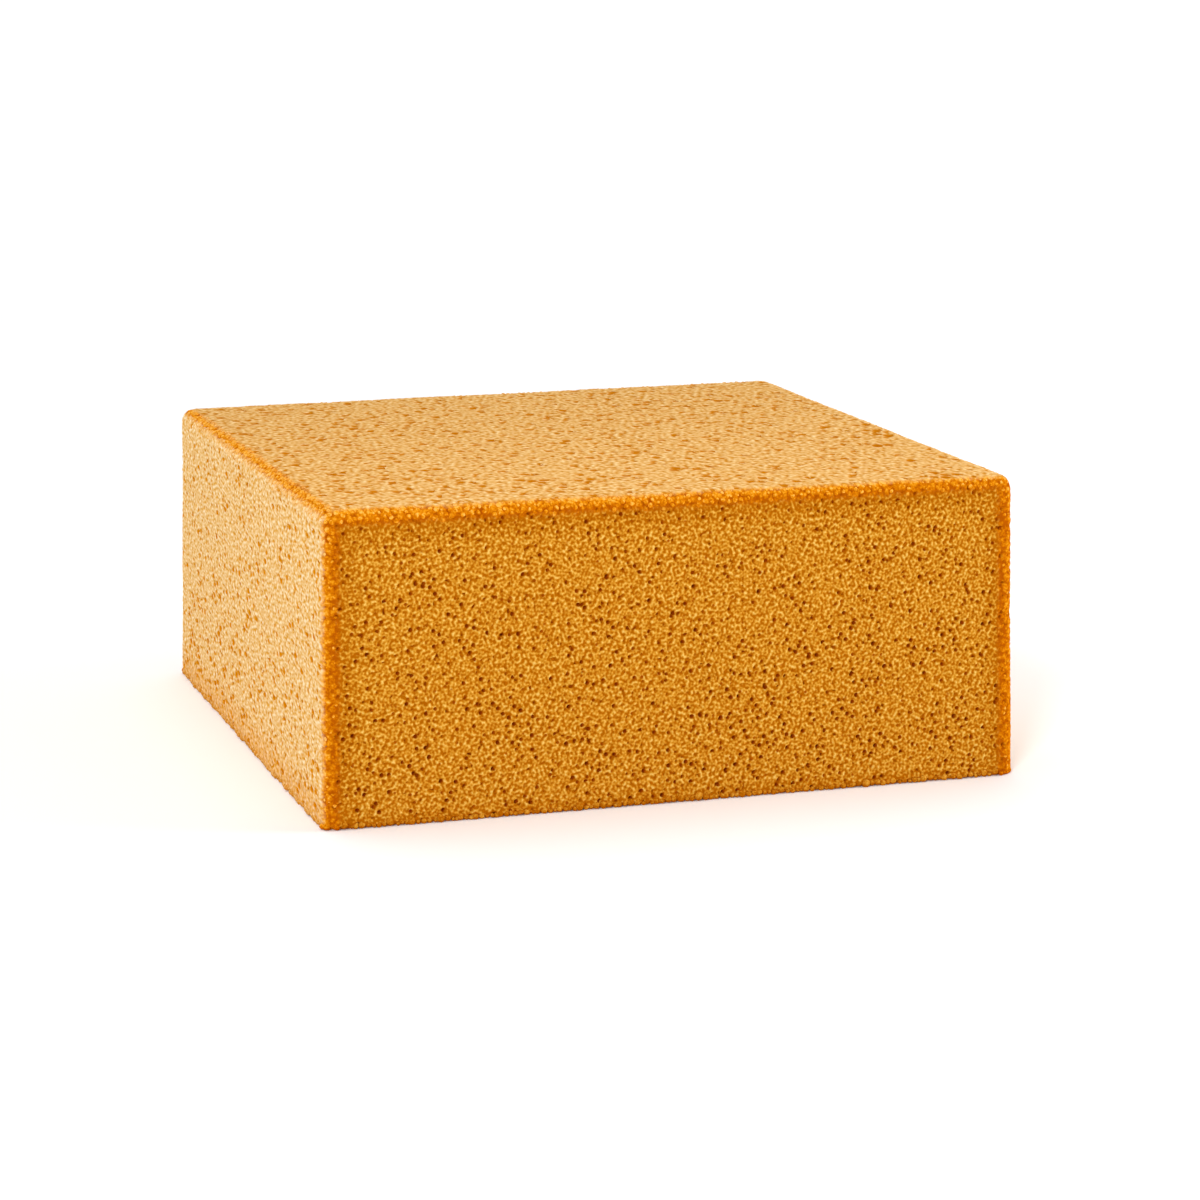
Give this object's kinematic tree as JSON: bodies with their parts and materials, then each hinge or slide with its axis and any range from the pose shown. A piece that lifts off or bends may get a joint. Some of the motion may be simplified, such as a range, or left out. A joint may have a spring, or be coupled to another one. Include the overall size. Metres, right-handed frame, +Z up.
{
  "type": "white chocolate mud cake",
  "caption": "Uncut square cake: one block of open golden crumb with softly rounded, browned edges, scattered pores and a flat base to rest on.",
  "frame": {"origin": "middle of the flat base", "axes": "+Z up, front face towards -Y, left face towards -X"},
  "size_m": [0.2006, 0.2003, 0.0861],
  "materials": {
    "crumb": "golden open crumb, browned to orange along the edges"
  },
  "bodies": {
    "root": {"cake": "crumb"}
  },
  "joints": []
}
